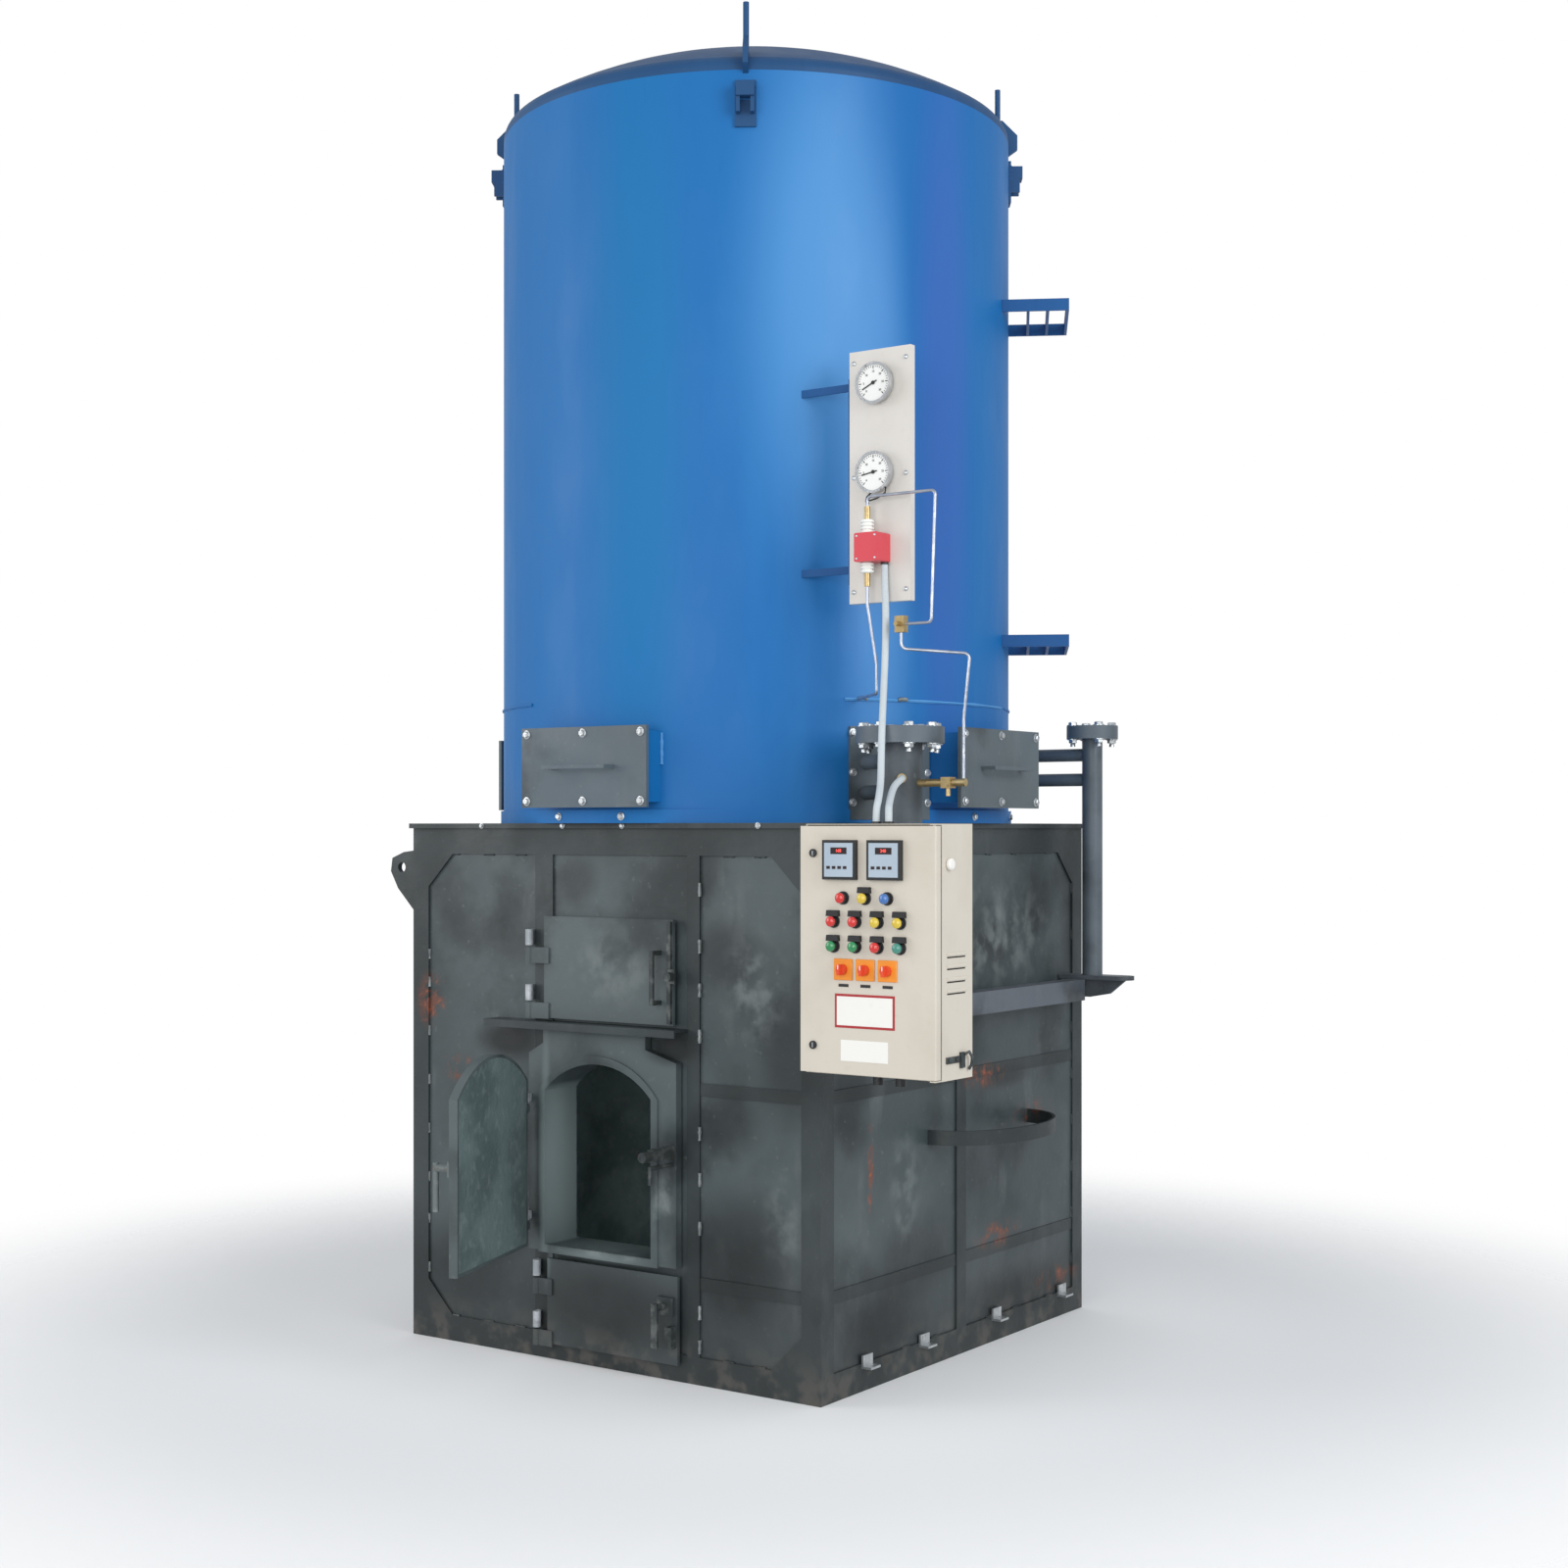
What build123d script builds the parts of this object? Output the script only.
"""Vertical solid-fuel thermic fluid heater: a square steel furnace with a brick lining and hinged doors,
a round coil shell with a dished head on top, clean-out covers, header pipes, a gauge plate and a
control cabinet. Millimetres. The origin is on the floor under the shell's axis, the fire door faces
-Y and the control cabinet stands at the +X side of the front."""

import os
from math import asin, cos, degrees, radians, sin, sqrt, tan

from build123d import *

os.makedirs("parts", exist_ok=True)

# Furnace box
base_side = 1422.0
base_top = 1475.0
plate_side = 1446.0
plate_thick = 14.0
plate_corner_r = 10.0
frame_leg = 60.0
frame_thick = 6.0
rail_height = 72.0
wall_thick = 6.0
lining_thick = 94.0
hearth_plate = 6.0
hearth_lining = 56.0
seam_low = 265.0
seam_high = 775.0
seam_width = 34.0
seam_thick = 3.0
front_post_left_x = -212.0
front_post_left_width = 64.0
sheet_joint_left = -234.0
front_post_right_x = 306.0
front_post_right_width = 42.0
side_post_y = -12.0
side_post_width = 50.0
gusset_leg = 95.0
cleat_height = 34.0
cleat_width = 46.0
cleat_out = 30.0
cleat_thick = 6.0
cleat_z = 60.0
cleat_spots = (-500.0, -215.0, 180.0, 575.0)
lug_y = -682.0
lug_out = 104.0
lug_top = 1398.0
lug_low = 1212.0
lug_thick = 16.0
lug_droop = 6.0
lug_waist = 75.0
lug_root = 29.0
lug_hole_r = 15.0
lug_hole_out = 60.0
lug_hole_drop = 50.0
fit_gap = 0.5

# Fire door
fire_x = 1.5
fire_width = 371.0
fire_sill = 320.0
fire_spring = 742.0
fire_rise = 82.0
sleeve_thick = 14.0
fire_frame_thick = 30.0
fire_frame_left = -246.0
fire_frame_right = 268.0
fire_frame_bottom = 302.0
fire_frame_shoulder = 842.0
fire_frame_neck = 104.0
fire_rim_width = 22.0
fire_rim_out = 6.0
fire_leaf_left = -220.0
fire_leaf_width = 462.0
fire_leaf_thick = 6.0
fire_leaf_depth = 24.0
fire_leaf_edge = 8.0
fire_leaf_low = 316.0
fire_leaf_spring = 770.0
fire_leaf_rise = 92.0
fire_open_angle = 71.0
fire_knuckles = (382.0, 705.0)
fire_knuckle_len = 48.0
fire_handle_z = 592.0
fire_handle_in = 22.0
fire_handle_out = 46.0
fire_handle_r = 8.0
fire_handle_rise = 14.0
fire_handle_drop = 112.0
fire_pad_half = 20.0
fire_pad_thick = 6.0
fire_stem_r = 11.0
keeper_gap = 6.0
keeper_width = 16.0
keeper_height = 34.0
keeper_reach = 96.0
keeper_z = 609.0
keeper_knob_r = 13.0
keeper_knob_out = 34.0
keeper_hook_r = 6.0
keeper_hook_z = 576.0
keeper_hook_foot = 534.0
hinge_radius = 11.0
hinge_gap = 5.0
hinge_pin_r = 7.0
door_gap = 5.0

# Feed door, ledge and ash door
feed_left = -196.0
feed_right = 253.0
feed_low = 940.0
feed_high = 1220.0
feed_hinge_x = -250.0
feed_knuckles = (984.0, 1136.0)
feed_margin = 36.0
ash_left = -184.0
ash_right = 268.0
ash_low = 46.0
ash_high = 280.0
ash_hinge_x = -222.0
ash_knuckles = (84.0, 226.0)
ash_margin = 32.0
flat_knuckle_len = 92.0
strap_lap = 20.0
strap_thick = 5.0
door_thick = 10.0
door_standoff = 8.0
ledge_left = -380.0
ledge_right = 290.0
ledge_top = 932.0
ledge_depth = 62.0
ledge_height = 20.0
ledge_thick = 6.0
feed_grip_in = 45.0
feed_grip_low = 54.0
feed_grip_length = 144.0
feed_grip_out = 34.0
feed_grip_r = 7.0
feed_foot_side = 12.0
feed_bar_in = 8.0
feed_bar_width = 12.0
feed_bar_end = 5.0
feed_bar_thick = 10.0
feed_knob_over = 5.0
feed_knob_z = 131.0
feed_knob_r = 12.0
feed_knob_out = 18.0
feed_plate_width = 24.0
feed_plate_height = 38.0
feed_plate_thick = 6.0
ash_knob_in = 42.0
ash_knob_z = 154.0
ash_knob_r = 10.0
ash_knob_out = 40.0
ash_plate_thick = 8.0
ash_plate_width = 52.0
ash_plate_height = 48.0
ash_plate_in = 10.0
ash_grip_width = 20.0
ash_grip_thick = 8.0
ash_grip_rise = 12.0
ash_grip_drop = 104.0
ash_stop_in = 6.0
ash_stop_width = 22.0
ash_stop_low = 46.0
ash_stop_height = 56.0
ash_stop_thick = 20.0

# Shell and head
shell_od = 1490.0
shell_thick = 6.0
shell_top = 3460.0
head_height = 238.0
head_thick = 8.0
head_rim = 30.0
head_knuckle = 34.0
ring_height = 36.0
ring_out = 8.0
cover_width = 434.0
cover_height = 216.0
cover_thick = 10.0
cover_z = 1625.0
cover_handle_reach = 104.0
cover_handle_out = 34.0
neck_wall = 6.0
neck_margin = 14.0
neck_room = 200.0
front_cover_out = 52.0
side_cover_out = 85.0
cover_grip_side = 10.0
clamp_azimuth = 33.5
clamp_plate = 14.0
clamp_rod_r = 8.0
clamp_rod_in = 30.0
clamp_rod_length = 136.0
clamp_pad_width = 56.0
clamp_pad_thick = 8.0
clamp_pad_drop = 30.0
clamp_pad_height = 122.0
clamp_rib_thick = 10.0
clamp_rib_out = 34.0
clamp_rib_drop = 52.0
clamp_rib_height = 68.0
clamp_shelf_width = 48.0
clamp_shelf_out = 42.0
clamp_shelf_drop = 44.0
clamp_shelf_thick = 36.0
clamp_fin_out = 28.0
clamp_fin_shoulder = 52.0
clamp_fin_top = 96.0
clamp_fin_slope = 18.0
clamp_fin_foot = 10.0
guide_azimuth = 119.0
guide_out = 173.0
guide_rungs = (0.0, 56.0, 112.0)
guide_half_width = 160.0
guide_bar = 8.0
guide_height = 34.0
guide_levels = (1998.0, 2958.0)

# Headers
header_x = 815.0
header_y = -500.0
header_pipe_r = 57.15
header_wall = 6.0
header_flange_r = 114.5
header_flange_thick = 20.0
header_pcd = 190.5
header_bolt_r = 9.5
header_bolts = 8
header_top = 1722.0
header_tube_levels = (1556.0, 1636.0)
rear_x = 805.0
rear_y = 597.0
rear_pipe_r = 30.15
rear_wall = 3.9
rear_flange_r = 76.0
rear_flange_thick = 18.0
rear_pcd = 120.7
rear_bolt_r = 9.5
rear_bolts = 4
rear_top = 1766.0
rear_tube_levels = (1606.0, 1680.0)
gasket_gap = 3.0
coil_tube_r = 19.0
coil_plate_azimuth = 64.5
coil_plate_half = 125.0
coil_plate_low = 1484.0
coil_plate_high = 1732.0
coil_plate_thick = 10.0
cap_thick = 8.0

# Side beam, saddles and hoop
beam_in = 745.0
beam_out = 800.0
beam_back = 560.0
beam_low = 950.0
beam_high = 1012.0
beam_thick = 6.0
saddle_thick = 12.0
saddle_reach = 905.0
saddle_half_width = 34.0
saddle_web_drop = 54.0
saddle_web_thick = 10.0
saddle_web_nose = 12.0
saddle_web_in = 40.0
beam_bracket_ys = (-600.0, 480.0)
beam_bracket_length = 60.0
hoop_low = 600.0
hoop_height = 40.0
hoop_thick = 8.0
hoop_mid_y = 100.0
hoop_half_width = 283.0
hoop_out = 182.0

# Gauge plate
gauge_left = 684.0
gauge_width = 186.0
gauge_low = 2042.0
gauge_high = 2694.0
gauge_y = -538.0
gauge_sheet = 2.0
gauge_lip = 20.0
gauge_dial_x = 770.0
gauge_dial_zs = (2375.0, 2604.0)
gauge_case_r = 50.0
gauge_bezel_r = 54.0
gauge_depth = 24.0
gauge_bezel_depth = 9.0
arm_levels = (2132.0, 2606.0)
arm_half = 10.0
arm_thick = 5.0
arm_inset = 10.0
strap_drop = 40.0
strap_over = 20.0
dial_recess = 4.0
dial_wall = 3.0
switch_corner_r = 5.0
switch_left = 738.0
switch_right = 809.0
switch_low = 2142.0
switch_high = 2216.0
switch_depth = 62.0
bellows_x = 759.0
bellows_r = 17.0
bellows_pitch = 9.0
bellows_count_up = 4
bellows_count_down = 3
bellows_rib = 5.0
bellows_neck = 4.0
fitting_r = 8.0
fitting_len = 34.0
tube_r = 4.0
valve_x = 861.0
valve_low = 1958.0
valve_high = 2000.0
valve_half_width = 14.0
valve_half_depth = 10.0
valve_stem_r = 6.0
valve_stem_out = 18.0
upper_run_z = 2311.0
upper_run_right = 962.0
upper_drop_right = 950.0
upper_bend = 12.0
lower_run_z = 1917.0
lower_run_right = 1022.0
lower_drop_x = 1004.0
lower_slack_z = 1740.0
lower_bend = 16.0
tube_fall = 15.0
foot_turn_z = 2035.0
foot_run_x = 787.0
foot_low_z = 1880.0
foot_hole_z = 1805.0
foot_bend = 10.0
foot_azimuth = 57.0
tapping_z = 1577.0
tap_x = 958.0
tap_half = 14.0
tap_stem_r = 6.0
tap_stem_drop = 34.0
tapping_end = 1010.0
tapping_r = 10.0
pocket_azimuth = 35.0
pocket_z = 1588.0
pocket_r = 12.0
pocket_reach = 80.0

# Control cabinet
cab_left = 757.0
cab_width = 388.0
cab_front = -870.0
cab_depth = 170.0
cab_low = 862.0
cab_high = 1472.0
cab_sheet = 2.0
cab_door_depth = 22.0
cab_door_gap = 5.0
cab_door_short = 5.0
cab_tab_thick = 3.0
cab_tab_half = 8.0
cab_pin_in = 10.0
cab_pin_r = 4.0
cab_pin_drop = 14.0
cab_fold_r = 3.0
controller_side = 96.0
controller_out = 12.0
controller_z = 1385.0
controller_xs = (878.0, 1006.0)
lamp_r = 13.0
lamp_out = 16.0
lamp_ring_r = 16.0
lamp_ring_out = 5.0
lamp_first_x = 858.0
lamp_pitch_x = 63.0
lamp_rows = (1176.0, 1236.0)
top_lamp_z = 1293.0
switch_row_z = 1120.0
row_shift = 27.0
knob_length = 26.0
knob_plate_r = 21.0
knob_plate_thick = 3.0
knob_wing_half = 4.0
lock_in = 40.0
lock_margin = 71.0
lock_r = 10.0
lock_out = 5.0
gland_r = 13.0
gland_len = 26.0
gland_ring = 6.0
low_gland_xs = (930.0, 995.0)
top_gland_xs = (916.0, 952.0)
top_gland_y = -772.0
switch_gland_x = 799.0
switch_gland_y = -550.0
conduit_r = 9.0
conduit_share = 0.45
flange_room = 200.0

half = base_side / 2
plate_half = plate_side / 2
plate_under = base_top - plate_thick
wall_out = half - frame_thick
wall_in = wall_out - wall_thick
lining_in = wall_in - lining_thick
rail_high_bottom = plate_under - rail_height
hearth_top = hearth_plate + hearth_lining
frame_front = -wall_out - fire_frame_thick
door_back = -half - door_standoff
door_face = door_back - door_thick
shell_r = shell_od / 2
leaf_offset = hinge_radius + hinge_gap


def block(x0, x1, y0, y1, z0, z1, mode=Mode.ADD):
    """A plain block between two corners."""
    with Locations(((x0 + x1) / 2, (y0 + y1) / 2, (z0 + z1) / 2)):
        Box(abs(x1 - x0), abs(y1 - y0), abs(z1 - z0), mode=mode)


def upright(x, y, z0, z1, radius, mode=Mode.ADD):
    """An upright round bar."""
    with Locations((x, y, (z0 + z1) / 2)):
        Cylinder(radius, z1 - z0, mode=mode)


def forward(x, z, y0, y1, radius, mode=Mode.ADD):
    """A round bar along the front-to-back direction."""
    with Locations((x, (y0 + y1) / 2, z)):
        Cylinder(radius, abs(y1 - y0), rotation=(90, 0, 0), mode=mode)


def save(builder, name):
    """Label a finished piece and write it."""
    builder.part.label = name
    export_step(builder.part, f"parts/{name}.step")


def arch(width, low, spring, rise, x, grow=0.0):
    """A door opening's outline on a front plane: square below, arched above."""
    w = width / 2 + grow
    with BuildLine() as outline:
        left = Line((x - w, low - grow), (x - w, spring))
        top = ThreePointArc(left @ 1, (x, spring + rise + grow), (x + w, spring))
        right = Line(top @ 1, (x + w, low - grow))
        Line(right @ 1, left @ 0)
    make_face(outline.edges())


def shell_core():
    """Everything inside the shell's outer face, taken away from what stands on it."""
    upright(0, 0, 0, shell_top + head_rim, shell_r, Mode.SUBTRACT)


# Frame of the furnace box: angle posts at the corners, rails round the foot and the head
with BuildPart() as corner_posts:
    with PolarLocations(0, 4):
        with Locations((half - frame_leg / 2, -half + frame_thick / 2, plate_under / 2)):
            Box(frame_leg, frame_thick, plate_under)
        with Locations((half - frame_thick / 2, -half + frame_leg / 2, plate_under / 2)):
            Box(frame_thick, frame_leg, plate_under)
save(corner_posts, "corner_posts")

with BuildPart() as frame_rails:
    with PolarLocations(0, 4):
        with Locations((0, -half + frame_thick / 2, rail_height / 2),
                       (0, -half + frame_thick / 2, plate_under - rail_height / 2)):
            Box(base_side - 2 * frame_leg, frame_thick, rail_height)
save(frame_rails, "frame_rails")


def throat_hole(depth):
    """Cuts the fire door's throat from the front face to the depth given."""
    with BuildSketch(Plane.XZ.offset(half)) as throat:
        arch(fire_width, fire_sill, fire_spring, fire_rise, fire_x, sleeve_thick + fit_gap)
    extrude(throat.sketch, amount=-depth, mode=Mode.SUBTRACT)


def door_holes(depth):
    """Cuts the openings of all three doors from the front face to the depth given."""
    throat_hole(depth)
    for left, right, low, high, margin in ((feed_left, feed_right, feed_low, feed_high, feed_margin),
                                           (ash_left, ash_right, ash_low, ash_high, ash_margin)):
        block(left + margin, right - margin, -half, depth - half, low + margin, high - margin,
              Mode.SUBTRACT)


# Flat posts between the rails, notched for the fire door's throat
post_run = rail_high_bottom - rail_height
post_mid = (rail_high_bottom + rail_height) / 2
with BuildPart() as mid_posts:
    for x, width in ((front_post_left_x, front_post_left_width),
                     (front_post_right_x, front_post_right_width)):
        with Locations((x, -half + frame_thick / 2, post_mid)):
            Box(width, frame_thick, post_run)
    throat_hole(frame_thick)
    for side in (-1, 1):
        with Locations((side * (half - frame_thick / 2), side_post_y, post_mid)):
            Box(frame_thick, side_post_width, post_run)
    with Locations((0, half - frame_thick / 2, post_mid)):
        Box(side_post_width, frame_thick, post_run)
save(mid_posts, "mid_posts")

# Wall sheets behind the frame
with BuildPart() as front_walls:
    block(-wall_out, sheet_joint_left, -wall_out, -wall_in, 0, plate_under)
    block(front_post_right_x, wall_out, -wall_out, -wall_in, 0, plate_under)
save(front_walls, "front_walls")
with BuildPart() as front_wall_middle:
    block(sheet_joint_left, front_post_right_x, -wall_out, -wall_in, 0, plate_under)
    door_holes(half - wall_in)
save(front_wall_middle, "front_wall_middle")
with BuildPart() as side_walls:
    for side in (-1, 1):
        block(side * wall_in, side * wall_out, -wall_in, wall_in, 0, plate_under)
save(side_walls, "side_walls")
with BuildPart() as back_wall:
    block(-wall_out, wall_out, wall_in, wall_out, 0, plate_under)
save(back_wall, "back_wall")

# Cover strips over the joints between the sheets
seam_face = wall_out + seam_thick
with BuildPart() as seam_strips:
    for z in (seam_low - seam_width / 2, seam_high - seam_width / 2):
        block(front_post_right_x + front_post_right_width / 2, half - frame_leg,
              -seam_face, -wall_out, z, z + seam_width)
        for side in (-1, 1):
            block(side * wall_out, side * seam_face, -half + frame_leg,
                  side_post_y - side_post_width / 2, z, z + seam_width)
            block(side * wall_out, side * seam_face, side_post_y + side_post_width / 2,
                  half - frame_leg, z, z + seam_width)
            block(side * side_post_width / 2, side * (half - frame_leg), wall_out, seam_face,
                  z, z + seam_width)
save(seam_strips, "seam_strips")

# Brick lining inside the sheets
with BuildPart() as hearth:
    block(-wall_in, wall_in, -wall_in, wall_in, 0, hearth_top)
save(hearth, "hearth")
with BuildPart() as front_lining:
    block(-wall_in, wall_in, -wall_in, -lining_in, hearth_top, plate_under)
    door_holes(half - lining_in)
save(front_lining, "front_lining")
with BuildPart() as side_linings:
    for side in (-1, 1):
        block(side * lining_in, side * wall_in, -lining_in, lining_in, hearth_top, plate_under)
save(side_linings, "side_linings")
with BuildPart() as back_lining:
    block(-wall_in, wall_in, lining_in, wall_in, hearth_top, plate_under)
save(back_lining, "back_lining")

# Top plate
with BuildPart() as top_plate:
    block(-plate_half, plate_half, -plate_half, plate_half, plate_under, base_top)
    fillet(top_plate.edges().filter_by(Axis.Z), plate_corner_r)
save(top_plate, "top_plate")

# Corner gussets on the sheets, inside the frame's corners
gusset_edge = half - frame_leg
with BuildPart() as corner_gussets:
    with BuildSketch(Plane.XZ.offset(wall_out)):
        for x, run in ((-gusset_edge, gusset_leg), (gusset_edge, -gusset_leg)):
            for z, rise in ((rail_height, gusset_leg), (rail_high_bottom, -gusset_leg)):
                with BuildLine():
                    Polyline((x, z), (x + run, z), (x, z + rise), close=True)
                make_face()
    extrude(amount=frame_thick)
    for side in (-1, 1):
        with BuildSketch(Plane.YZ.offset(side * wall_out)):
            for y, run in ((-gusset_edge, gusset_leg), (gusset_edge, -gusset_leg)):
                with BuildLine():
                    Polyline((y, rail_high_bottom), (y + run, rail_high_bottom),
                             (y, rail_high_bottom - gusset_leg), close=True)
                make_face()
        extrude(amount=side * frame_thick)
save(corner_gussets, "corner_gussets")

# Small angle cleats along the foot of both sides
with BuildPart() as foot_cleats:
    for side in (-1, 1):
        for y in cleat_spots:
            block(side * half, side * (half + cleat_thick), y - cleat_width / 2, y + cleat_width / 2,
                  cleat_z, cleat_z + cleat_height)
            block(side * half, side * (half + cleat_out), y - cleat_width / 2, y + cleat_width / 2,
                  cleat_z, cleat_z + cleat_thick)
save(foot_cleats, "foot_cleats")

# Lifting lug high on the left side, near the front, with a bulging end and a tapered root
lug_height = lug_top - lug_low
with BuildPart() as lifting_lug:
    with BuildSketch(Plane.XZ.offset(-lug_y)):
        with BuildLine():
            Polyline((-half, lug_top), (-half - lug_out / 2, lug_top - lug_droop),
                     (-half - lug_out + lug_droop, lug_top - lug_height / 8),
                     (-half - lug_out, lug_top - lug_height / 3),
                     (-half - lug_waist, lug_top - lug_height * 3 / 5),
                     (-half - lug_root, lug_low + lug_root), (-half, lug_low), close=True)
        make_face()
        with Locations((-half - lug_hole_out, lug_top - lug_hole_drop)):
            Circle(lug_hole_r, mode=Mode.SUBTRACT)
    extrude(amount=lug_thick)
save(lifting_lug, "lifting_lug")

# Ledge over the fire door: an angle, long leg out
with BuildPart() as ledge:
    block(ledge_left, ledge_right, -half - ledge_depth, -half, ledge_top - ledge_thick, ledge_top)
    block(ledge_left, ledge_right, -half - ledge_depth, -half - ledge_depth + ledge_thick,
          ledge_top - ledge_height, ledge_top - ledge_thick)
save(ledge, "ledge")

# Fire door frame: a plate with cut shoulders, an arched rim round the opening and a throat
frame_top = ledge_top - ledge_thick
with BuildPart() as fire_door_frame:
    with BuildSketch(Plane.XZ.offset(half)):
        with BuildLine():
            Polyline((fire_frame_left, fire_frame_bottom), (fire_frame_left, fire_frame_shoulder),
                     (fire_frame_left + fire_frame_neck / 2, fire_frame_shoulder + 30),
                     (fire_frame_left + fire_frame_neck / 2, frame_top),
                     (fire_frame_right - fire_frame_neck, frame_top),
                     (fire_frame_right - fire_frame_neck, fire_frame_shoulder + 30),
                     (fire_frame_right, fire_frame_shoulder), (fire_frame_right, fire_frame_bottom),
                     close=True)
        make_face()
    extrude(amount=fire_frame_thick - frame_thick)
    with BuildSketch(Plane.XZ.offset(half)):
        arch(fire_width, fire_sill, fire_spring, fire_rise, fire_x, sleeve_thick)
    extrude(amount=lining_in - half)
    with BuildSketch(Plane.XZ.offset(-frame_front)):
        arch(fire_width, fire_sill, fire_spring, fire_rise, fire_x, fire_rim_width)
    extrude(amount=fire_rim_out)
    with BuildSketch(Plane.XZ.offset(fire_rim_out - frame_front)):
        arch(fire_width, fire_sill, fire_spring, fire_rise, fire_x)
    extrude(amount=lining_in + frame_front - fire_rim_out, mode=Mode.SUBTRACT)
save(fire_door_frame, "fire_door_frame")

# Fire door: a shallow pan with a brick fill, built shut and swung open about its hinge line
rim_front = frame_front - fire_rim_out
fire_hinge_x = fire_leaf_left - leaf_offset
fire_hinge_y = rim_front - door_gap - fire_leaf_depth + hinge_radius
leaf_front = -fire_hinge_y + rim_front - door_gap - fire_leaf_depth
leaf_back = leaf_front + fire_leaf_depth
leaf_mid = leaf_offset + fire_leaf_width / 2
fire_swing = Location((fire_hinge_x, fire_hinge_y, 0)) * Location((0, 0, 0), (0, 0, -fire_open_angle))
with BuildPart() as fire_door_shut:
    with BuildSketch(Plane.XZ.offset(-leaf_front)):
        arch(fire_leaf_width, fire_leaf_low, fire_leaf_spring, fire_leaf_rise, leaf_mid)
    extrude(amount=-fire_leaf_depth)
    with BuildSketch(Plane.XZ.offset(-leaf_back)):
        arch(fire_leaf_width, fire_leaf_low, fire_leaf_spring, fire_leaf_rise, leaf_mid, -fire_leaf_edge)
    extrude(amount=fire_leaf_depth - fire_leaf_thick, mode=Mode.SUBTRACT)
    for z in fire_knuckles:
        upright(0, 0, z - fire_knuckle_len / 2, z - hinge_gap / 2, hinge_radius)
        block(0, leaf_offset + fire_leaf_edge / 2, leaf_front, leaf_front + 10,
              z - fire_knuckle_len / 2, z - hinge_gap / 2)
with BuildPart() as fire_door:
    add(fire_door_shut.part.moved(fire_swing))
save(fire_door, "fire_door")
with BuildPart() as fire_fill_shut:
    with BuildSketch(Plane.XZ.offset(-leaf_back + 1)):
        arch(fire_leaf_width, fire_leaf_low, fire_leaf_spring, fire_leaf_rise, leaf_mid, -fire_leaf_edge)
    extrude(amount=fire_leaf_depth - fire_leaf_thick - 1)
with BuildPart() as fire_door_fill:
    add(fire_fill_shut.part.moved(fire_swing))
save(fire_door_fill, "fire_door_fill")
handle_x = leaf_offset + fire_leaf_width - fire_handle_in
handle_y = leaf_front - fire_handle_out
pad_front = leaf_front - fire_pad_thick
with BuildPart() as fire_handle_shut:
    block(handle_x - fire_pad_half, handle_x + fire_pad_half, pad_front, leaf_front,
          fire_handle_z - fire_pad_half, fire_handle_z + fire_pad_half)
    forward(handle_x, fire_handle_z, pad_front, handle_y, fire_stem_r)
    upright(handle_x, handle_y, fire_handle_z - fire_handle_drop, fire_handle_z + fire_handle_rise,
            fire_handle_r)
with BuildPart() as fire_door_handle:
    add(fire_handle_shut.part.moved(fire_swing))
save(fire_door_handle, "fire_door_handle")

# Keeper of the fire door's latch, standing off the right jamb, with a knob and a bent hook below
keeper_x = fire_leaf_left + fire_leaf_width + keeper_gap + keeper_width / 2
keeper_front = frame_front - keeper_reach
with BuildPart() as latch_keeper:
    block(keeper_x - keeper_width / 2, keeper_x + keeper_width / 2, keeper_front, frame_front,
          keeper_z - keeper_height / 2, keeper_z + keeper_height / 2)
    forward(keeper_x, keeper_z, keeper_front - keeper_knob_out, keeper_front, keeper_knob_r)
    forward(keeper_x, keeper_hook_z, keeper_front, frame_front, keeper_hook_r)
    upright(keeper_x, keeper_front, keeper_hook_foot, keeper_hook_z + keeper_hook_r, keeper_hook_r)
save(latch_keeper, "latch_keeper")


def flat_door(left, right, low, high, hinge_x, knuckles):
    """A flat plate door with two strap hinges at its left edge, standing off the wall."""
    block(left, right, door_face, door_back, low, high)
    for z in knuckles:
        top = z - hinge_gap / 2
        upright(hinge_x, door_face, z - flat_knuckle_len / 2, top, hinge_radius)
        block(hinge_x, left + strap_lap, door_face - strap_thick, door_face,
              z - flat_knuckle_len / 2, top)


with BuildPart() as feed_door:
    flat_door(feed_left, feed_right, feed_low, feed_high, feed_hinge_x, feed_knuckles)
save(feed_door, "feed_door")
with BuildPart() as ash_door:
    flat_door(ash_left, ash_right, ash_low, ash_high, ash_hinge_x, ash_knuckles)
save(ash_door, "ash_door")

# Fixed knuckles of the three furnace doors, on blocks from the wall
with BuildPart() as door_hinges:
    for x, y, back, zs, length in (
            (fire_hinge_x, fire_hinge_y, frame_front, fire_knuckles, fire_knuckle_len),
            (feed_hinge_x, door_face, -wall_out, feed_knuckles, flat_knuckle_len),
            (ash_hinge_x, door_face, -half, ash_knuckles, flat_knuckle_len)):
        for z in zs:
            upright(x, y, z + hinge_gap / 2, z + length / 2, hinge_radius)
            block(x - hinge_radius, x, y, back, z + hinge_gap / 2, z + length / 2)
    upright(fire_hinge_x, fire_hinge_y, fire_knuckles[0] + fire_knuckle_len / 2,
            fire_knuckles[1] - fire_knuckle_len / 2 - hinge_gap, hinge_pin_r)
save(door_hinges, "door_hinges")

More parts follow.
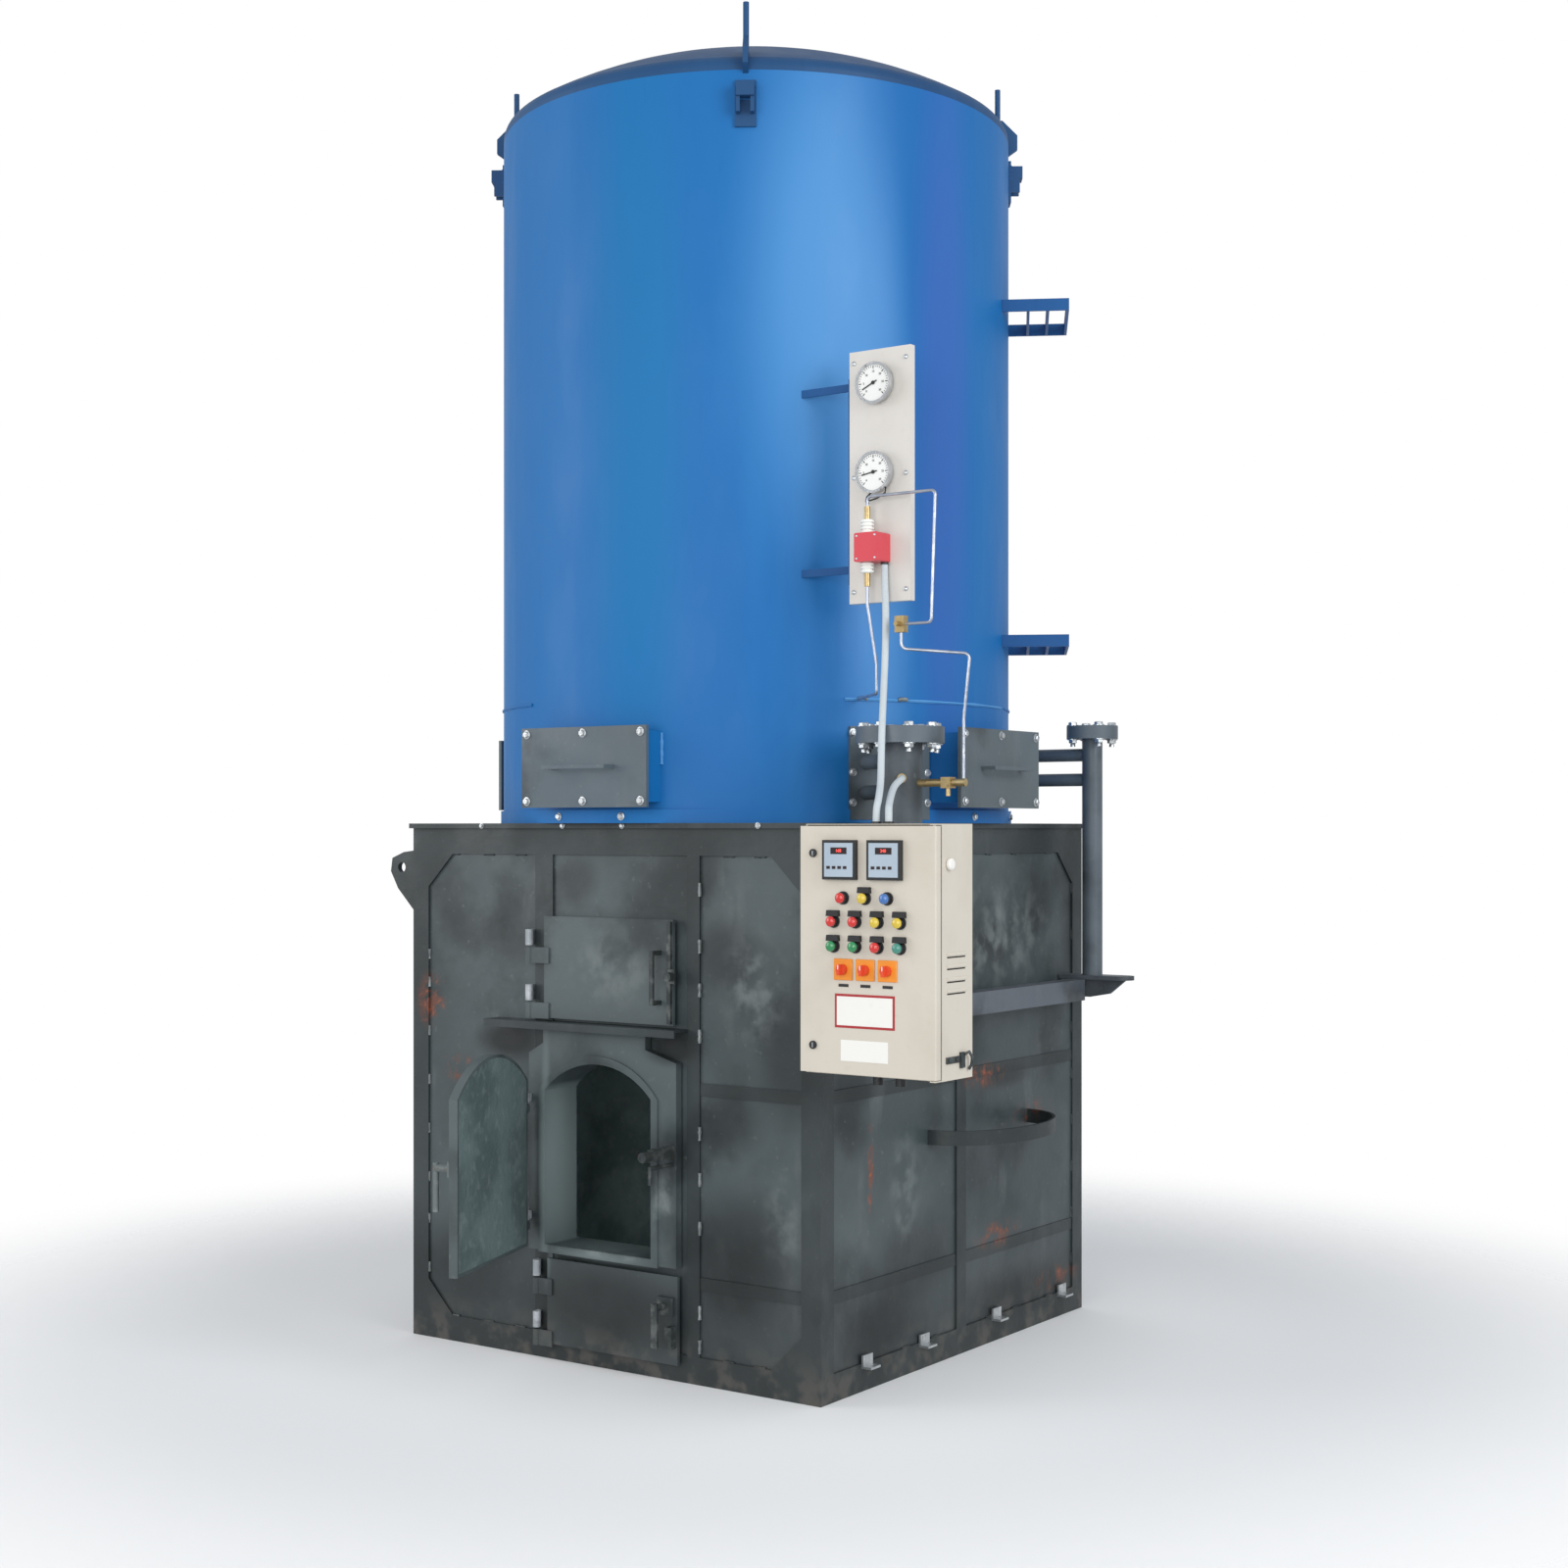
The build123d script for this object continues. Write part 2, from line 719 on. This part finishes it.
# Handles and latches of the feed and ash doors
grip_x = feed_right - feed_grip_in
grip_low = feed_low + feed_grip_low
grip_high = grip_low + feed_grip_length
bar_x = feed_right - feed_bar_in
knob_x = feed_right + feed_knob_over
knob_z = feed_low + feed_knob_z
bar_front = door_face - feed_bar_thick
plate_front = bar_front - feed_plate_thick
with BuildPart() as feed_door_handle:
    for z in (grip_low, grip_high - feed_foot_side):
        block(grip_x - feed_foot_side / 2, grip_x + feed_foot_side / 2, door_face - feed_grip_out, door_face,
              z, z + feed_foot_side)
    upright(grip_x, door_face - feed_grip_out, grip_low, grip_high, feed_grip_r)
    block(bar_x - feed_bar_width / 2, bar_x + feed_bar_width / 2, bar_front, door_face,
          feed_low + feed_bar_end, feed_high - feed_bar_end)
    block(knob_x - feed_plate_width / 2, knob_x + feed_plate_width / 2, plate_front, bar_front,
          knob_z - feed_plate_height / 2, knob_z + feed_plate_height / 2)
    forward(knob_x, knob_z, plate_front - feed_knob_out, plate_front, feed_knob_r)
save(feed_door_handle, "feed_door_handle")
ash_x = ash_right - ash_knob_in
ash_z = ash_low + ash_knob_z
ash_plate_right = ash_right - ash_plate_in
ash_stop_right = ash_right - ash_stop_in
ash_stop_foot = ash_low + ash_stop_low
with BuildPart() as ash_door_handle:
    block(ash_plate_right - ash_plate_width, ash_plate_right, door_face - ash_plate_thick, door_face,
          ash_z - ash_plate_height / 2, ash_z + ash_plate_height / 2)
    forward(ash_x, ash_z, door_face - ash_knob_out, door_face - ash_plate_thick, ash_knob_r)
    block(ash_x - ash_grip_width / 2, ash_x + ash_grip_width / 2,
          door_face - ash_knob_out - ash_grip_thick, door_face - ash_knob_out,
          ash_z - ash_grip_drop, ash_z + ash_grip_rise)
    block(ash_stop_right - ash_stop_width, ash_stop_right, door_face - ash_stop_thick, door_face,
          ash_stop_foot, ash_stop_foot + ash_stop_height)
save(ash_door_handle, "ash_door_handle")

# Coil shell with its base ring and dished head
with BuildPart() as shell:
    upright(0, 0, base_top, shell_top, shell_r)
    upright(0, 0, base_top, shell_top, shell_r - shell_thick, Mode.SUBTRACT)
save(shell, "shell")
with BuildPart() as base_ring:
    upright(0, 0, base_top, base_top + ring_height, shell_r + ring_out)
    upright(0, 0, base_top, base_top + ring_height, shell_r, Mode.SUBTRACT)
save(base_ring, "base_ring")


def cap_height(x, radius, rise):
    """Height at distance x from the axis of a spherical cap of the given rise over its rim."""
    ball = (radius**2 + rise**2) / (2 * rise)
    return rise - ball + sqrt(ball**2 - x**2)


cap_low = shell_top + head_rim
cap_rise = head_height - head_rim
inner_r = shell_r - head_thick
inner_rise = cap_rise - head_thick
with BuildPart() as head:
    with BuildSketch(Plane.XZ) as dish:
        with BuildLine():
            rim = Line((inner_r, shell_top), (shell_r, shell_top))
            side = Line(rim @ 1, (shell_r, cap_low))
            crown = ThreePointArc(
                side @ 1, (shell_r / 2, cap_low + cap_height(shell_r / 2, shell_r, cap_rise)),
                (0, cap_low + cap_rise))
            drop = Line(crown @ 1, (0, cap_low + inner_rise))
            under = ThreePointArc(
                drop @ 1, (inner_r / 2, cap_low + cap_height(inner_r / 2, inner_r, inner_rise)),
                (inner_r, cap_low))
            Line(under @ 1, rim @ 0)
        make_face()
        fillet(dish.vertices().group_by(Axis.Y)[1], head_knuckle)
    revolve(axis=Axis.Z)
save(head, "head")

# The room the head takes up, taken away from what stands on it
with BuildPart() as head_room:
    with BuildSketch(Plane.XZ) as dome:
        with BuildLine():
            floor = Line((0, shell_top), (shell_r, shell_top))
            edge = Line(floor @ 1, (shell_r, cap_low))
            top = ThreePointArc(
                edge @ 1, (shell_r / 2, cap_low + cap_height(shell_r / 2, shell_r, cap_rise)),
                (0, cap_low + cap_rise))
            Line(top @ 1, floor @ 0)
        make_face()
        fillet(dome.vertices().group_by(Axis.Y)[1], head_knuckle)
    revolve(axis=Axis.Z)

# Clean-out necks and their covers on the four sides
cover_sides = ((0, front_cover_out), (90, side_cover_out), (180, front_cover_out), (270, side_cover_out))
neck_half = cover_width / 2 - neck_margin
neck_rise = cover_height / 2 - neck_margin
with BuildPart() as neck_long:
    block(-neck_half, neck_half, -shell_r - neck_room, -shell_r / 2, cover_z - neck_rise, cover_z + neck_rise)
    block(-neck_half + neck_wall, neck_half - neck_wall, -shell_r - neck_room, -shell_r / 2,
          cover_z - neck_rise + neck_wall, cover_z + neck_rise - neck_wall, Mode.SUBTRACT)
    shell_core()
with BuildPart() as beyond_cover:
    block(-cover_width / 2, cover_width / 2, cover_thick - neck_room, cover_thick,
          -cover_height / 2, cover_height / 2)
with BuildPart() as cleanout_necks:
    for turn, out in cover_sides:
        add(neck_long.part.rotate(Axis.Z, turn))
    for turn, out in cover_sides:
        add(beyond_cover.part.moved(Location((0, -shell_r - out, cover_z))).rotate(Axis.Z, turn),
            mode=Mode.SUBTRACT)
save(cleanout_necks, "cleanout_necks")
grip_half = cover_grip_side / 2
with BuildPart() as cover_one:
    block(-cover_width / 2, cover_width / 2, 0, cover_thick, -cover_height / 2, cover_height / 2)
    for x in (-cover_handle_reach, cover_handle_reach):
        block(x - grip_half, x + grip_half, -cover_handle_out, 0, -grip_half, grip_half)
    block(-cover_handle_reach - grip_half, cover_handle_reach + grip_half,
          -cover_handle_out - cover_grip_side, -cover_handle_out, -grip_half, grip_half)
with BuildPart() as cleanout_covers:
    for turn, out in cover_sides:
        add(cover_one.part.moved(Location((0, -shell_r - out, cover_z))).rotate(Axis.Z, turn))
save(cleanout_covers, "cleanout_covers")

# Clamps round the head: a ribbed lug on the shell, a fin on the head's rim and an upright rod
with BuildPart() as clamp_one:
    rod_y = -shell_r + clamp_rod_in
    shelf_half = clamp_shelf_width / 2
    block(-clamp_pad_width / 2, clamp_pad_width / 2, -shell_r - clamp_pad_thick, clamp_pad_thick - shell_r,
          shell_top - clamp_pad_drop - clamp_pad_height, shell_top - clamp_pad_drop)
    for x in (-shelf_half, shelf_half - clamp_rib_thick):
        block(x, x + clamp_rib_thick, -shell_r - clamp_rib_out, -shell_r,
              shell_top - clamp_rib_drop - clamp_rib_height, shell_top - clamp_rib_drop)
    block(-shelf_half, shelf_half, -shell_r - clamp_shelf_out, -shell_r,
          shell_top - clamp_shelf_drop - clamp_shelf_thick, shell_top - clamp_shelf_drop)
    with BuildSketch(Plane.YZ.offset(-clamp_plate / 2)):
        fin_face = -shell_r - clamp_fin_out
        fin_back = rod_y + clamp_fin_out
        with BuildLine():
            Polyline((fin_face, shell_top + clamp_fin_foot), (fin_face, shell_top + clamp_fin_shoulder),
                     (fin_face + clamp_fin_slope, shell_top + clamp_fin_shoulder + clamp_fin_slope),
                     (rod_y - clamp_plate, shell_top + clamp_fin_top),
                     (rod_y + clamp_plate, shell_top + clamp_fin_top),
                     (fin_back, shell_top + clamp_fin_top - clamp_fin_slope),
                     (fin_back, shell_top - clamp_fin_foot), (-shell_r, shell_top - clamp_fin_foot),
                     close=True)
        make_face()
    extrude(amount=clamp_plate)
    rod_foot = shell_top + clamp_fin_shoulder
    upright(0, rod_y, rod_foot, rod_foot + clamp_rod_length, clamp_rod_r)
    upright(0, 0, 0, shell_top, shell_r, Mode.SUBTRACT)
    add(head_room.part, mode=Mode.SUBTRACT)
with BuildPart() as head_clamps:
    for k in range(4):
        add(clamp_one.part.rotate(Axis.Z, clamp_azimuth + 90 * k))
save(head_clamps, "head_clamps")


def flange_bolts(x, y, z, pcd, count, radius, turn=0.0):
    """Bolt holes through a flange."""
    with Locations((x, y, z)):
        with PolarLocations(pcd / 2, count, start_angle=turn):
            Cylinder(radius, flange_room, mode=Mode.SUBTRACT)


# Front header: pipe and flange, capped below
saddle_top = beam_high + saddle_thick
front_joint = header_top - header_flange_thick - gasket_gap
header_bore_r = header_pipe_r - header_wall
with BuildPart() as front_header:
    upright(header_x, header_y, saddle_top, front_joint, header_pipe_r)
    upright(header_x, header_y, front_joint - header_flange_thick, front_joint, header_flange_r)
    upright(header_x, header_y, saddle_top + cap_thick, front_joint, header_bore_r, Mode.SUBTRACT)
    flange_bolts(header_x, header_y, front_joint, header_pcd, header_bolts, header_bolt_r)
save(front_header, "front_header")

# Rear header, the same in a smaller size
rear_joint = rear_top - rear_flange_thick - gasket_gap
rear_bore_r = rear_pipe_r - rear_wall
with BuildPart() as rear_header:
    upright(rear_x, rear_y, saddle_top, rear_joint, rear_pipe_r)
    upright(rear_x, rear_y, rear_joint - rear_flange_thick, rear_joint, rear_flange_r)
    upright(rear_x, rear_y, saddle_top + cap_thick, rear_joint, rear_bore_r, Mode.SUBTRACT)
    flange_bolts(rear_x, rear_y, rear_joint, rear_pcd, rear_bolts, rear_bolt_r, 45)
save(rear_header, "rear_header")

# Loose upper flanges of both headers
with BuildPart() as header_flanges:
    for x, y, low, high, rim_r, bore_r in (
            (header_x, header_y, front_joint, header_top, header_flange_r, header_bore_r),
            (rear_x, rear_y, rear_joint, rear_top, rear_flange_r, rear_bore_r)):
        upright(x, y, low, high, rim_r)
        upright(x, y, low, high, bore_r, Mode.SUBTRACT)
    flange_bolts(header_x, header_y, header_top, header_pcd, header_bolts, header_bolt_r)
    flange_bolts(rear_x, rear_y, rear_top, rear_pcd, rear_bolts, rear_bolt_r, 45)
save(header_flanges, "header_flanges")

# Coil ends between the headers and the shell
header_azimuth = degrees(asin(header_x / sqrt(header_x**2 + header_y**2)))
header_reach = sqrt(header_x**2 + header_y**2)
with BuildPart() as radial_tubes:
    for z in header_tube_levels:
        forward(0, z, -shell_r + 20, -header_reach + header_pipe_r / 2, coil_tube_r)
    upright(0, 0, coil_plate_low, coil_plate_high, shell_r + coil_plate_thick, Mode.SUBTRACT)
with BuildPart() as coil_tubes:
    add(radial_tubes.part.rotate(Axis.Z, header_azimuth))
    for z in rear_tube_levels:
        with Locations(((sqrt(shell_r**2 - rear_y**2) + rear_x) / 2, rear_y, z)):
            Cylinder(coil_tube_r, rear_x - sqrt(shell_r**2 - rear_y**2) + 60, rotation=(0, 90, 0))
    block(rear_x, rear_x + 100, rear_y - 60, rear_y + 60, coil_plate_low, rear_top, Mode.SUBTRACT)
    shell_core()
    upright(header_x, header_y, saddle_top, front_joint, header_pipe_r, Mode.SUBTRACT)
    upright(rear_x, rear_y, saddle_top, rear_joint, rear_pipe_r, Mode.SUBTRACT)
save(coil_tubes, "coil_tubes")
with BuildPart() as coil_plate_flat:
    upright(0, 0, coil_plate_low, coil_plate_high, shell_r + coil_plate_thick)
    upright(0, 0, coil_plate_low, coil_plate_high, shell_r, Mode.SUBTRACT)
    block(-coil_plate_half, coil_plate_half, -shell_od, 0, coil_plate_low, coil_plate_high, Mode.INTERSECT)
with BuildPart() as coil_plate:
    add(coil_plate_flat.part.rotate(Axis.Z, coil_plate_azimuth))
    upright(0, 0, base_top, base_top + ring_height, shell_r + ring_out + fit_gap, Mode.SUBTRACT)
    block(0, shell_od, -neck_half - fit_gap, neck_half + fit_gap, cover_z - neck_rise - fit_gap,
          cover_z + neck_rise + fit_gap, Mode.SUBTRACT)
save(coil_plate, "coil_plate")

# Side beam between the cabinet's back and the rear saddle
cab_back = cab_front + cab_depth
with BuildPart() as side_beam:
    block(beam_out - beam_thick, beam_out, cab_back, beam_back, beam_low, beam_high)
    for z in (beam_low, beam_high - beam_thick):
        block(beam_in, beam_out - beam_thick, cab_back, beam_back, z, z + beam_thick)
    for y in beam_bracket_ys:
        block(half, beam_in + beam_thick, y, y + beam_bracket_length, beam_low + beam_thick,
              beam_high - beam_thick)
save(side_beam, "side_beam")
web_low = beam_high - saddle_web_drop
with BuildPart() as pipe_saddles:
    for y in (header_y, rear_y):
        with BuildSketch(Plane.XY.offset(beam_high)):
            with BuildLine():
                near = Line((half, y - saddle_half_width), (saddle_reach, y - saddle_half_width))
                nose = ThreePointArc(near @ 1, (saddle_reach + saddle_half_width, y),
                                     (saddle_reach, y + saddle_half_width))
                far = Line(nose @ 1, (half, y + saddle_half_width))
                Line(far @ 1, near @ 0)
            make_face()
        extrude(amount=saddle_thick)
    with BuildSketch(Plane.XZ.offset(saddle_web_thick / 2 - rear_y)):
        with BuildLine():
            Polyline((half, beam_high), (saddle_reach + saddle_web_nose, beam_high),
                     (saddle_reach - saddle_web_in, web_low + saddle_web_nose), (beam_out, web_low),
                     (half, web_low), close=True)
        make_face()
    extrude(amount=-saddle_web_thick)
save(pipe_saddles, "pipe_saddles")

# Ladder-shaped guides on the shell and the half hoop on the furnace side
with BuildPart() as guide_one:
    for x in (-guide_half_width, guide_half_width):
        block(x - guide_bar / 2, x + guide_bar / 2, -shell_r - guide_out, -shell_r / 2,
              -guide_height / 2, guide_height / 2)
    for inward in guide_rungs:
        rung_y = -shell_r - guide_out + inward
        block(-guide_half_width, guide_half_width, rung_y, rung_y + guide_bar,
              -guide_height / 2, guide_height / 2)
    upright(0, 0, -guide_height, guide_height, shell_r, Mode.SUBTRACT)
with BuildPart() as shell_guides:
    for z in guide_levels:
        add(guide_one.part.rotate(Axis.Z, guide_azimuth).moved(Location((0, 0, z))))
save(shell_guides, "shell_guides")
with BuildPart() as side_hoop:
    with BuildSketch(Plane.XY.offset(hoop_low)):
        with Locations((wall_out, hoop_mid_y)):
            Ellipse(hoop_out + half - wall_out, hoop_half_width)
            Ellipse(hoop_out + half - wall_out - hoop_thick, hoop_half_width - hoop_thick,
                    mode=Mode.SUBTRACT)
    extrude(amount=hoop_height)
    block(0, wall_out, -half, half, hoop_low, hoop_low + hoop_height, Mode.SUBTRACT)
save(side_hoop, "side_hoop")

# Gauge plate with folded edges, on a bracket from the shell
gauge_right = gauge_left + gauge_width
with BuildPart() as gauge_plate:
    block(gauge_left, gauge_right, gauge_y, gauge_y + gauge_lip, gauge_low, gauge_high)
    block(gauge_left + gauge_sheet, gauge_right - gauge_sheet, gauge_y + gauge_sheet,
          gauge_y + gauge_lip, gauge_low + gauge_sheet, gauge_high - gauge_sheet, Mode.SUBTRACT)
save(gauge_plate, "gauge_plate")
with BuildPart() as gauge_bracket:
    block(gauge_left - arm_thick, gauge_left, gauge_y + gauge_sheet, gauge_y + gauge_sheet + strap_drop,
          arm_levels[0] - strap_drop, arm_levels[1] + strap_over)
    for z in arm_levels:
        block(shell_r / 2, gauge_left - arm_thick, gauge_y + arm_inset, gauge_y + arm_inset + arm_thick,
              z - arm_half, z + arm_half)
    shell_core()
save(gauge_bracket, "gauge_bracket")
with BuildPart() as gauges:
    for z in gauge_dial_zs:
        forward(gauge_dial_x, z, gauge_y, gauge_y - gauge_depth + gauge_bezel_depth, gauge_case_r)
        forward(gauge_dial_x, z, gauge_y - gauge_depth + gauge_bezel_depth, gauge_y - gauge_depth,
                gauge_bezel_r)
        forward(gauge_dial_x, z, gauge_y - gauge_depth, gauge_y - gauge_depth + dial_recess,
                gauge_case_r - dial_wall, Mode.SUBTRACT)
save(gauges, "gauges")

# Differential pressure switch with bellows above and below
switch_front = gauge_y - switch_depth
bellows_y = gauge_y - switch_depth / 2
with BuildPart() as pressure_switch:
    block(switch_left, switch_right, switch_front, gauge_y, switch_low, switch_high)
    fillet(pressure_switch.edges().filter_by(Axis.Y), switch_corner_r)
save(pressure_switch, "pressure_switch")
with BuildPart() as switch_bellows:
    for base, way, ribs in ((switch_high, 1, bellows_count_up), (switch_low, -1, bellows_count_down)):
        end = base + way * ribs * bellows_pitch
        upright(bellows_x, bellows_y, min(base, end), max(base, end), bellows_r - bellows_neck)
        for k in range(ribs):
            z = base + way * (k + 0.5) * bellows_pitch
            upright(bellows_x, bellows_y, z - bellows_rib / 2, z + bellows_rib / 2, bellows_r)
save(switch_bellows, "switch_bellows")
bellows_top = switch_high + bellows_count_up * bellows_pitch
bellows_foot = switch_low - bellows_count_down * bellows_pitch


def rod_path(radius, bend, *points):
    """A round tube through the points, with equal bends at its corners."""
    with BuildPart() as rod:
        with BuildLine():
            path = FilletPolyline(*points, radius=bend)
        with BuildSketch(Plane(origin=path @ 0, z_dir=path % 0)):
            Circle(radius)
        sweep()
    return rod.part


# Thin pressure tubes
valve_mid = (valve_low + valve_high) / 2
fitting_top = bellows_top + fitting_len
fitting_foot = bellows_foot - fitting_len
foot_x = shell_r * sin(radians(foot_azimuth))
foot_y = -shell_r * cos(radians(foot_azimuth))
upper_tube = rod_path(tube_r, upper_bend, (bellows_x, bellows_y, fitting_top),
                      (bellows_x, bellows_y, upper_run_z), (upper_run_right, bellows_y, upper_run_z),
                      (upper_drop_right, bellows_y, valve_mid),
                      (valve_x + valve_half_width, bellows_y, valve_mid))
lower_tube = rod_path(tube_r, lower_bend, (valve_x, bellows_y, valve_low), (valve_x, bellows_y, lower_run_z),
                      (lower_run_right, header_y, lower_run_z - tube_fall),
                      (lower_drop_x, header_y, lower_slack_z),
                      (lower_drop_x, header_y, tapping_z + tapping_r))
foot_tube = rod_path(tube_r, foot_bend, (bellows_x, bellows_y, fitting_foot),
                     (bellows_x, bellows_y, foot_turn_z), (foot_run_x, bellows_y, foot_low_z),
                     (foot_run_x, bellows_y, foot_hole_z), (foot_x, foot_y, foot_hole_z))
with BuildPart() as impulse_tubes:
    for tube in (upper_tube, lower_tube, foot_tube):
        add(tube)
    shell_core()
save(impulse_tubes, "impulse_tubes")

# Fittings: bellows nipples, the shut-off valve, the tapping and the sensor pocket on the front header
pocket_dir = Vector(sin(radians(pocket_azimuth)), -cos(radians(pocket_azimuth)), 0)
with BuildPart() as impulse_fittings:
    upright(bellows_x, bellows_y, bellows_top, fitting_top, fitting_r)
    upright(bellows_x, bellows_y, fitting_foot, bellows_foot, fitting_r)
    block(valve_x - valve_half_width, valve_x + valve_half_width, bellows_y - valve_half_depth,
          bellows_y + valve_half_depth, valve_low, valve_high)
    forward(valve_x, valve_mid, bellows_y - valve_half_depth - valve_stem_out, bellows_y - valve_half_depth,
            valve_stem_r)
    with Locations(((header_x + tapping_end) / 2, header_y, tapping_z)):
        Cylinder(tapping_r, tapping_end - header_x, rotation=(0, 90, 0))
    block(tap_x - tap_half, tap_x + tap_half, header_y - tap_half, header_y + tap_half,
          tapping_z - tap_half, tapping_z + tap_half)
    upright(tap_x, header_y, tapping_z - tap_stem_drop, tapping_z, tap_stem_r)
    with BuildSketch(Plane(origin=(header_x, header_y, pocket_z), z_dir=pocket_dir)):
        Circle(pocket_r)
    extrude(amount=pocket_reach)
    upright(header_x, header_y, saddle_top, front_joint, header_pipe_r, Mode.SUBTRACT)
save(impulse_fittings, "impulse_fittings")

# Control cabinet: a box open at the front, with a pivot tab and pin at the top and the foot
cab_right = cab_left + cab_width
door_inside = cab_front + cab_door_depth
box_front = door_inside + cab_door_gap
pin_x = cab_right - cab_pin_in
pin_y = cab_front + cab_pin_in
with BuildPart() as cabinet_box:
    block(cab_left, cab_right, box_front, cab_back, cab_low, cab_high)
    block(cab_left + cab_sheet, cab_right - cab_sheet, box_front, cab_back - cab_sheet,
          cab_low + cab_sheet, cab_high - cab_sheet, Mode.SUBTRACT)
    for low, pin_low in ((cab_low, cab_low + cab_tab_thick),
                         (cab_high - cab_tab_thick, cab_high - cab_tab_thick - cab_pin_drop)):
        block(pin_x - cab_tab_half, pin_x + cab_tab_half, pin_y - cab_tab_half, box_front + cab_sheet,
              low, low + cab_tab_thick)
        upright(pin_x, pin_y, pin_low, pin_low + cab_pin_drop, cab_pin_r)
save(cabinet_box, "cabinet_box")
door_low = cab_low + cab_door_short
door_high = cab_high - cab_door_short
with BuildPart() as cabinet_door:
    block(cab_left, cab_right, cab_front, door_inside, door_low, door_high)
    block(cab_left + cab_sheet, cab_right - cab_sheet, cab_front + cab_sheet, door_inside,
          door_low + cab_sheet, door_high - cab_sheet, Mode.SUBTRACT)
    fillet(cabinet_door.edges().filter_by(Axis.Z).group_by(Axis.Y)[0], cab_fold_r)
    upright(pin_x, pin_y, cab_low, cab_high, cab_pin_r + fit_gap / 2, Mode.SUBTRACT)
save(cabinet_door, "cabinet_door")

# Devices on the cabinet's door
with BuildPart() as controllers:
    for x in controller_xs:
        block(x - controller_side / 2, x + controller_side / 2, cab_front - controller_out, cab_front,
              controller_z - controller_side / 2, controller_z + controller_side / 2)
save(controllers, "controllers")
lamp_xs = [lamp_first_x + k * lamp_pitch_x for k in range(4)]
row_xs = [lamp_first_x + row_shift + k * lamp_pitch_x for k in range(3)]
lamp_spots = [(x, z) for z in lamp_rows for x in lamp_xs] + [(x, top_lamp_z) for x in row_xs]
with BuildPart() as panel_lamps:
    for x, z in lamp_spots:
        forward(x, z, cab_front, cab_front - lamp_ring_out, lamp_ring_r)
        forward(x, z, cab_front - lamp_ring_out, cab_front - lamp_out, lamp_r)
save(panel_lamps, "panel_lamps")
with BuildPart() as panel_switches:
    for x in row_xs:
        forward(x, switch_row_z, cab_front, cab_front - knob_plate_thick, knob_plate_r)
        forward(x, switch_row_z, cab_front - knob_plate_thick, cab_front - lamp_out, lamp_r)
        block(x - knob_wing_half, x + knob_wing_half, cab_front - knob_length, cab_front - lamp_out,
              switch_row_z - lamp_r, switch_row_z + lamp_r)
save(panel_switches, "panel_switches")
with BuildPart() as cabinet_locks:
    for z in (cab_low + lock_margin, cab_high - lock_margin):
        forward(cab_left + lock_in, z, cab_front, cab_front - lock_out, lock_r)
save(cabinet_locks, "cabinet_locks")

# Cable glands under and on the cabinet and under the pressure switch
gland_y = cab_front + cab_depth / 2
with BuildPart() as cable_glands:
    for x in low_gland_xs:
        upright(x, gland_y, cab_low - gland_len, cab_low, gland_r)
    for x in top_gland_xs:
        upright(x, top_gland_y, cab_high, cab_high + gland_ring, gland_r)
    upright(switch_gland_x, switch_gland_y, switch_low - gland_ring, switch_low, conduit_r + 1)
save(cable_glands, "cable_glands")


def flexible(points):
    """A flexible conduit through the points, each bend as large as its two runs allow."""
    radii = []
    for a, b, c in zip(points, points[1:], points[2:]):
        before = Vector(*b) - Vector(*a)
        after = Vector(*c) - Vector(*b)
        turn = radians(before.get_angle(after))
        radii.append(conduit_share * min(before.length, after.length) / tan(turn / 2))
    with BuildPart() as cable:
        with BuildLine():
            path = FilletPolyline(*points, radius=radii)
        with BuildSketch(Plane(origin=path @ 0, z_dir=path % 0)):
            Circle(conduit_r)
        sweep()
    return cable.part


gland_face = cab_high + gland_ring
main_route = ((switch_gland_x, switch_gland_y, switch_low - gland_ring),
              (switch_gland_x, switch_gland_y, 2100), (807, -556, 2020), (812, -566, 1920),
              (822, -590, 1815), (846, -636, 1715), (854, -652, 1640), (882, -698, 1572),
              (912, -756, 1530), (top_gland_xs[0], top_gland_y, 1508),
              (top_gland_xs[0], top_gland_y, gland_face))
sensor_start = Vector(header_x, header_y, pocket_z) + pocket_dir * pocket_reach
sensor_second = sensor_start + pocket_dir * 30
sensor_route = (tuple(sensor_start), tuple(sensor_second), (888, -642, 1570), (908, -690, 1548),
                (940, -752, 1518), (top_gland_xs[1], top_gland_y, 1502),
                (top_gland_xs[1], top_gland_y, gland_face))
with BuildPart() as main_conduit:
    add(flexible(main_route))
save(main_conduit, "main_conduit")
with BuildPart() as sensor_conduit:
    add(flexible(sensor_route))
save(sensor_conduit, "sensor_conduit")
